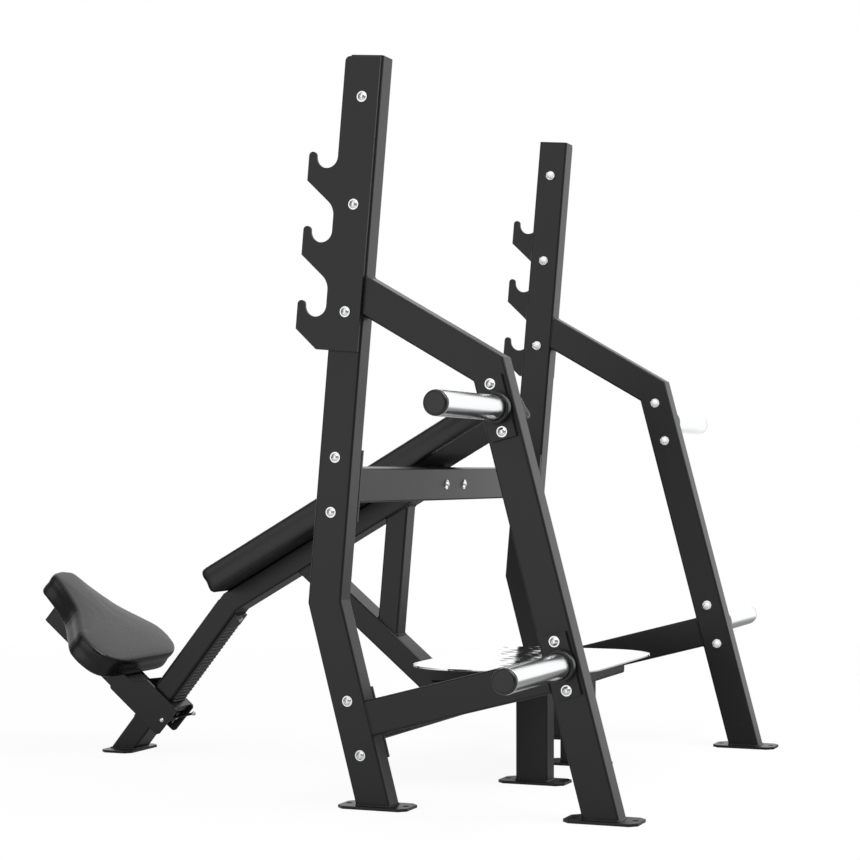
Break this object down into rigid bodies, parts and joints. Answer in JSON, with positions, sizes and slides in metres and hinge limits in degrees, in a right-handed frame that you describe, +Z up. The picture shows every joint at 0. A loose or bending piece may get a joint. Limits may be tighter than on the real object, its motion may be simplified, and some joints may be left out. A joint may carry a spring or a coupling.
{
  "type": "incline bench press",
  "caption": "Incline weight bench between two welded side frames with stepped bar hooks and chromed plate horns, with a sliding padded seat and a step for the spotter.",
  "frame": {"origin": "on the floor, in the middle of the footprint", "axes": "+X across the bench to the right of a lifter facing the front, +Y to the spotter's side, +Z up"},
  "size_m": [1.866, 1.6356, 1.4711],
  "materials": {
    "powder_coat": "matt powder coat",
    "leatherette": "fine grain",
    "chrome": "polished",
    "zinc": "zinc plated",
    "black_plastic": "matt",
    "tread_alloy": "bright tread plate",
    "plywood": "raw"
  },
  "bodies": {
    "frame": {"upright_left": "powder_coat", "upright_right": "powder_coat", "upright_base_left": "powder_coat", "upright_base_right": "powder_coat", "upright_caps": "black_plastic", "bar_rest_left": "powder_coat", "bar_rest_right": "powder_coat", "top_arm_left": "powder_coat", "top_arm_right": "powder_coat", "rear_leg_left": "powder_coat", "rear_leg_right": "powder_coat", "side_stretcher_left": "powder_coat", "side_stretcher_right": "powder_coat", "upright_foot_left": "powder_coat", "upright_foot_right": "powder_coat", "rear_foot_left": "powder_coat", "rear_foot_right": "powder_coat", "upper_cross_member": "powder_coat", "lower_cross_member": "powder_coat", "cross_member_end_plates": "powder_coat", "bench_beam": "powder_coat", "front_post": "powder_coat", "bench_post": "powder_coat", "bench_brace": "powder_coat", "bench_flanges": "powder_coat", "bench_foot": "powder_coat", "seat_rack": "powder_coat", "rack_screws": "zinc", "slide_strip": "black_plastic", "back_pad": "leatherette", "back_board": "plywood", "horn_upper_left": "chrome", "horn_upper_right": "chrome", "horn_lower_left": "chrome", "horn_lower_right": "chrome", "horn_plates": "powder_coat", "horn_collars": "black_plastic", "horn_caps": "black_plastic", "tread_plate": "tread_alloy", "step_bearers": "powder_coat", "step_bar": "powder_coat", "step_brackets": "powder_coat", "step_leg_left": "powder_coat", "step_leg_right": "powder_coat", "step_feet": "powder_coat", "frame_screws": "zinc", "frame_washers": "zinc", "frame_nuts": "zinc"},
    "seat_carriage": {"seat_arm": "powder_coat", "seat_arm_cap": "black_plastic", "carriage_plate_left": "powder_coat", "carriage_plate_right": "powder_coat", "front_slide": "black_plastic", "rear_slide": "black_plastic", "seat_pad": "leatherette", "seat_board": "plywood", "pawl_pin": "zinc", "pawl_spring": "zinc"},
    "pawl": {"pawl": "powder_coat", "pawl_knob": "zinc"}
  },
  "joints": [
    {"name": "seat_slide", "type": "slide", "parent": "frame", "child": "seat_carriage", "axis": [0, 0.6252, 0.7804], "range_m": [0, 0.24]},
    {"name": "pawl_swing", "type": "hinge", "parent": "seat_carriage", "child": "pawl", "pos_m": [0, -0.48815, 0.07826], "axis": [1, 0, 0], "range_deg": [0, 7]}
  ]
}
